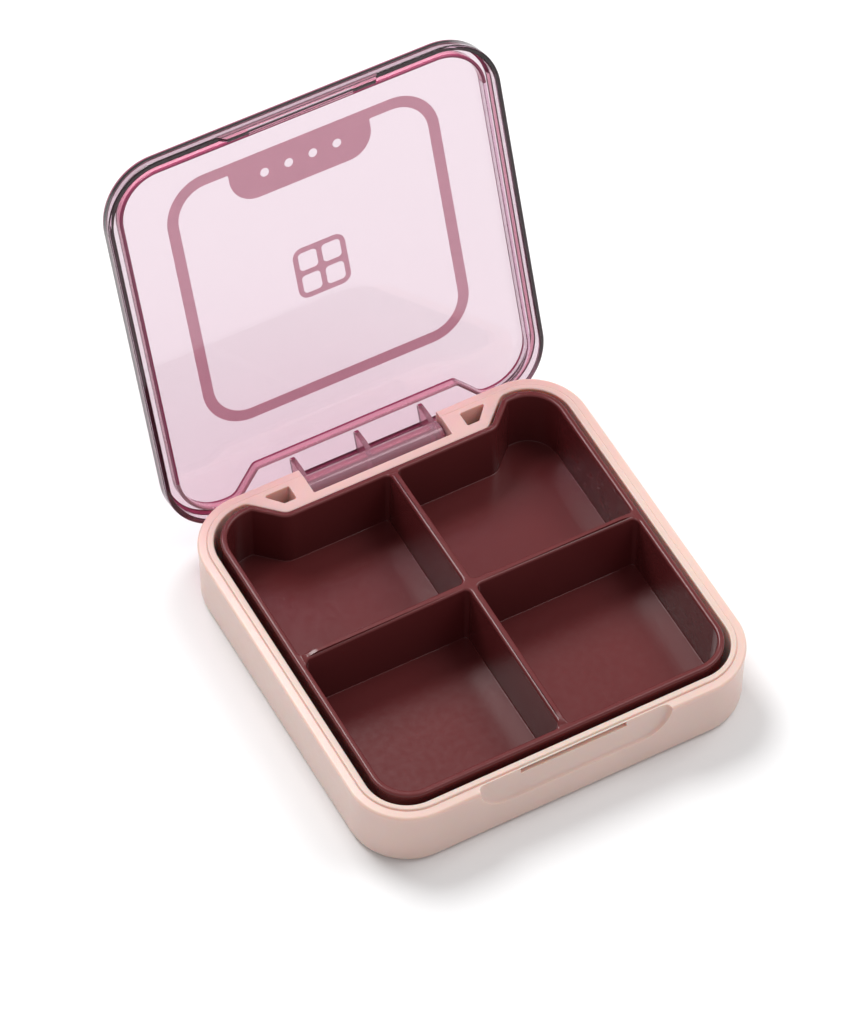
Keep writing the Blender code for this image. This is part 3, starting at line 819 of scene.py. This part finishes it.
def make_ridge():
    """The sealing ridge: a thin wall with a round tip that runs outside the tray's rim."""
    corners = jogged_corners(
        TRAY_HIGH.x, TRAY_LOW.y, TRAY_HIGH.y, TRAY_MID_REAR - RIDGE_JOG_IN,
        TRAY_JOG_IN, TRAY_JOG_OUT, TRAY_FRONT_CORNER, TRAY_REAR_CORNER)
    half = RIDGE_THICK / 2
    middle = RIDGE_GAP + half
    root = LID_HIGH.z - LID_PLATE + OVERLAP
    rings = [level(corners, middle + half, root)]
    for step in range(RIDGE_TIP_STEPS + 1):
        a = math.radians(180 * step / RIDGE_TIP_STEPS)
        rings.append(level(corners, middle + half * math.cos(a),
                           RIDGE_TIP_Z + half - half * math.sin(a)))
    rings.append(level(corners, middle - half, LID_HIGH.z - LID_PLATE - SHADED_ROOT_HEIGHT))
    rings.append(level(corners, middle - half, root))
    return loft("ridge_wall", rings, closed=True)


def add_hinge_leaf(lid):
    """The rear wall's tongue, its barrel, the two pivots and the three gussets."""
    half = NOTCH_HALF_X - HINGE_SLACK
    rear_wall = LID_HIGH.y - LID_SKIRT - OVERLAP
    wall = [
        (rear_wall, HINGE.z),
        (LID_HIGH.y, HINGE.z),
        (LID_HIGH.y, LID_HIGH.z - LID_EDGE_ROUND),
        (rear_wall, LID_HIGH.z - LID_EDGE_ROUND),
    ]
    join(lid, slab_x("hinge_wall", wall, -half, half, CHAMFER))
    join(lid, hinge_rod("barrel", BARREL_RADIUS, half, BARREL_SIDES))
    join(lid, hinge_rod("pivots", PIVOT_RADIUS, half + PIVOT_LENGTH))
    plate = LID_HIGH.z - LID_PLATE + OVERLAP
    gusset = [
        (HINGE.y - GUSSET_FOOT, HINGE.z),
        (rear_wall + GUSSET_BITE, HINGE.z),
        (rear_wall + GUSSET_BITE, plate),
        (GUSSET_FRONT, plate),
        (GUSSET_FRONT, plate - GUSSET_DROP),
        (GUSSET_FRONT + GUSSET_WAIST_BACK, HINGE.z + GUSSET_WAIST_Z),
    ]
    for number, x in enumerate((-GUSSET_X, 0.0, GUSSET_X), start=1):
        low = x - GUSSET_THICK / 2
        join(lid, slab_x("gusset_%d" % number, gusset, low, low + GUSSET_THICK, CHAMFER))


def add_latch(lid):
    """The front tab with its ramped ends, and the bead that snaps into the latch slot."""
    back = LID_LOW.y + TAB_THICK
    top = LID_SKIRT_Z + TAB_BITE
    outline = [
        (-TAB_HALF_X, top),
        (-TAB_HALF_X + TAB_RAMP, TAB_LOW_Z),
        (TAB_HALF_X - TAB_RAMP, TAB_LOW_Z),
        (TAB_HALF_X, top),
    ]
    join(lid, loft("latch_tab", [[(x, y, z) for x, z in outline] for y in (LID_LOW.y, back)]))
    bead = [
        (back - OVERLAP, BEAD_Z - BEAD_HALF_HEIGHT),
        (back + BEAD_REACH, BEAD_Z - BEAD_HALF_HEIGHT / 2),
        (back + BEAD_REACH, BEAD_Z + BEAD_HALF_HEIGHT / 2),
        (back - OVERLAP, BEAD_Z + BEAD_HALF_HEIGHT),
    ]
    join(lid, slab_x("latch_bead", bead, -BEAD_HALF_X, BEAD_HALF_X))


def edge_depth(x, y):
    """How far a place lies inside the lid's outline."""
    middle = (LID_LOW + LID_HIGH) / 2
    half = (LID_HIGH - LID_LOW) / 2
    across = abs(x - middle.x) - half.x + LID_CORNER
    along = abs(y - middle.y) - half.y + LID_CORNER
    outside = math.hypot(max(across, 0), max(along, 0))
    return LID_CORNER - outside - min(max(across, along), 0)


def painted_shade_slot(place):
    """Which of the lid's materials a place gets: painted dark shade on the edges, ridge tips and
    the ridge's root by the hinge, painted rosy shade on the inner walls and barrel, paler on the
    right side, clear pink elsewhere.
    """
    depth = edge_depth(place.x, place.y)
    plate = LID_HIGH.z - LID_PLATE
    inside = depth > LID_SKIRT + RIDGE_GAP / 2 and place.z < plate - SURFACE_MARGIN
    painted_pale = place.x > LID_HIGH.x - PAINTED_PALE_SIDE and place.y > LID_LOW.y + PAINTED_PALE_SIDE
    tip = RIDGE_TIP_Z - TIP_MARGIN < place.z < RIDGE_TIP_Z + SHADED_TIP_HEIGHT
    # painted shade: dark pink on the edges, rosy on the right side's edges
    if depth < SHADED_EDGE_IN and place.z > LID_HIGH.z - SHADED_EDGE_DOWN:
        return PAINTED_ROSY if painted_pale else PAINTED_DARK
    if inside and place.y > HINGE_SIDE_Y and place.z > plate - SHADED_ROOT_HEIGHT:
        return PAINTED_DARK
    if inside and tip and place.y < HINGE_SIDE_Y:
        return CLEAR if painted_pale else PAINTED_DARK
    if inside and painted_pale:
        return CLEAR
    from_hinge = math.hypot(place.y - HINGE.y, place.z - HINGE.z)
    if from_hinge < BARREL_RADIUS + SURFACE_MARGIN or inside:
        return PAINTED_ROSY
    return CLEAR


def paint_lid_shade(piece, surfaces):
    """Gives the faces of a piece drawn closed their material by place: clear pink, or painted rosy
    or dark shade.
    """
    for surface in surfaces:
        piece.data.materials.append(surface)
    for face in piece.data.polygons:
        face.material_index = painted_shade_slot(face.center / MM)


def open_up(piece):
    """Turns a piece that was drawn closed to the lid's open rest, by its mesh."""
    pivot = Matrix.Translation(HINGE * MM)
    turn = pivot @ Matrix.Rotation(-LID_OPEN, 4, "X") @ pivot.inverted()
    piece.data.transform(turn)
    return piece


def make_lid(surfaces):
    """The lid: cover, ridge, hinge leaf and latch in one body, clear pink with painted rosy and
    dark shade.
    """
    lid = loft("lid_body", lid_rings())
    join(lid, make_ridge())
    add_hinge_leaf(lid)
    add_latch(lid)
    settle(lid)
    paint_lid_shade(lid, surfaces)
    return open_up(lid)


# ---- print on the lid's outer face ----
def print_levels():
    low = LID_HIGH.z + PRINT_GAP
    return low, low + PRINT_THICK


def make_border():
    """A rounded square band with a wide tab at the front, pierced by a row of four dots."""
    z0, z1 = print_levels()
    edge = box_corners(-PRINT_HALF_X, PRINT_HALF_X, PRINT_FRONT, PRINT_REAR, PRINT_CORNER)
    border = prism("lid_border_print", edge, z0, z1)
    front = PRINT_FRONT + PRINT_BAND
    tab_foot = PRINT_FRONT + PRINT_TAB_REACH
    inner_x = PRINT_HALF_X - PRINT_BAND
    inner_round = PRINT_CORNER - PRINT_BAND
    right = [
        corner(PRINT_TAB_HALF_X, front, PRINT_WINDOW_CORNER),
        corner(inner_x, front, inner_round),
        corner(inner_x, PRINT_REAR - PRINT_BAND, inner_round),
    ]
    feet = [
        corner(-PRINT_TAB_HALF_X, tab_foot, PRINT_TAB_CORNER),
        corner(PRINT_TAB_HALF_X, tab_foot, PRINT_TAB_CORNER),
    ]
    low = z0 - CUTTER_LIFT
    high = z1 + CUTTER_LIFT
    cut(border, prism("print_window", right + mirrored(right) + feet, low, high))
    for number in range(PRINT_DOTS):
        x = (number - (PRINT_DOTS - 1) / 2) * PRINT_DOT_PITCH
        y = PRINT_FRONT + PRINT_TAB_REACH / 2
        r = PRINT_DOT_RADIUS
        dot = box_corners(x - r, x + r, y - r, y + r, r * PRINT_DOT_ROUND)
        cut(border, prism("print_dot_%d" % number, dot, low, high))
    settle(border)
    return open_up(border)


def make_symbol():
    """A plain four-square symbol: a rounded frame with a cross, like the tray's plan."""
    z0, z1 = print_levels()
    low = SYMBOL_CENTRE_Y - SYMBOL_HALF
    high = SYMBOL_CENTRE_Y + SYMBOL_HALF
    edge = box_corners(-SYMBOL_HALF, SYMBOL_HALF, low, high, SYMBOL_CORNER)
    symbol = prism("lid_symbol_print", edge, z0, z1)
    half = SYMBOL_LINE / 2
    size = SYMBOL_HALF - SYMBOL_LINE - half
    for column, x0 in enumerate((-SYMBOL_HALF + SYMBOL_LINE, half)):
        for row, y0 in enumerate((low + SYMBOL_LINE, SYMBOL_CENTRE_Y + half)):
            pane = box_corners(x0, x0 + size, y0, y0 + size, SYMBOL_PANE_CORNER)
            name = "pane_%d_%d" % (column, row)
            cut(symbol, prism(name, pane, z0 - CUTTER_LIFT, z1 + CUTTER_LIFT))
    settle(symbol)
    return open_up(symbol)


# ---- studio ----
def make_floor():
    data = bmesh.new()
    bmesh.ops.create_grid(data, x_segments=2, y_segments=2, size=FLOOR_HALF)
    floor = add_object("studio_floor", data)
    made, _, shader = new_material("floor_white")
    shader.inputs["Base Color"].default_value = (*FLOOR_COLOUR, 1)
    shader.inputs["Roughness"].default_value = FLOOR_ROUGHNESS
    shader.inputs["Specular IOR Level"].default_value = FLOOR_SPECULAR
    floor.data.materials.append(made)


def area_light(name, place, size, power):
    """A round soft lamp that faces the origin."""
    lamp = bpy.data.lights.new(name, "AREA")
    lamp.shape = "DISK"
    lamp.size = size * MM
    lamp.energy = power
    obj = bpy.data.objects.new(name, lamp)
    bpy.context.scene.collection.objects.link(obj)
    obj.location = Vector(place) * MM
    aim = (-Vector(place)).normalized()
    obj.rotation_euler = aim.to_track_quat("-Z", "Y").to_euler()


def make_lights():
    world = bpy.data.worlds.new("studio")
    bpy.context.scene.world = world
    world.use_nodes = True
    backdrop = world.node_tree.nodes["Background"]
    backdrop.inputs["Color"].default_value = (1.0, 1.0, 1.0, 1)
    backdrop.inputs["Strength"].default_value = BACKDROP_STRENGTH
    area_light("key", KEY_PLACE, KEY_SIZE, KEY_POWER)
    area_light("fill", FILL_PLACE, FILL_SIZE, FILL_POWER)


def make_camera():
    azimuth = math.radians(VIEW_AZIMUTH)
    elevation = math.radians(VIEW_ELEVATION)
    roll = math.radians(VIEW_ROLL)
    back = Vector((math.sin(azimuth) * math.cos(elevation),
                   -math.cos(azimuth) * math.cos(elevation), math.sin(elevation)))
    level_right = Vector((math.cos(azimuth), math.sin(azimuth), 0))
    level_up = back.cross(level_right)
    right = level_right * math.cos(roll) + level_up * math.sin(roll)
    up = level_up * math.cos(roll) - level_right * math.sin(roll)
    turn = Matrix((right, up, back)).transposed().to_4x4()
    place = (Vector(VIEW_TARGET) + back * VIEW_DISTANCE) * MM
    lens = bpy.data.cameras.new("camera")
    lens.lens = VIEW_LENS
    lens.sensor_width = VIEW_SENSOR
    lens.clip_start = VIEW_CLIP_START
    lens.clip_end = VIEW_CLIP_END
    camera = bpy.data.objects.new("camera", lens)
    bpy.context.scene.collection.objects.link(camera)
    camera.matrix_world = Matrix.Translation(place) @ turn
    bpy.context.scene.camera = camera


def main():
    peach = moulded("shell_peach", PEACH, PEACH_ROUGHNESS, PEACH_GLOW)
    burgundy = moulded("tray_burgundy", BURGUNDY, BURGUNDY_ROUGHNESS, BURGUNDY_GLOW)
    burgundy_shader = burgundy.node_tree.nodes["Principled BSDF"]
    burgundy_shader.inputs["Specular IOR Level"].default_value = BURGUNDY_SPECULAR
    clear = clear_pink("lid_clear_pink", CLEAR_LOOK)
    # painted shade: the rosy and dark pinks stand in for the lid's darker edges, walls and barrel
    painted_rosy_pink = clear_pink("lid_painted_rosy_pink", PAINTED_ROSY_LOOK)
    painted_dark_pink = clear_pink("lid_painted_dark_pink", PAINTED_DARK_LOOK)
    ink = rose_ink()
    finish_piece(make_shell(), "base", peach, "base_shell")
    finish_piece(make_tray(), "base", burgundy, "pill_tray")
    finish_piece(make_lid((clear, painted_rosy_pink, painted_dark_pink)), "lid", None, "lid")
    finish_piece(make_border(), "lid", ink, "lid_print_border")
    finish_piece(make_symbol(), "lid", ink, "lid_print_symbol")
    make_floor()
    make_lights()
    make_camera()
    scene = bpy.context.scene
    scene.view_settings.view_transform = "Standard"
    scene.cycles.max_bounces = LIGHT_BOUNCES
    scene.cycles.glossy_bounces = GLOSSY_BOUNCES
    scene.cycles.transmission_bounces = LIGHT_BOUNCES
    scene.cycles.caustics_reflective = False


main()
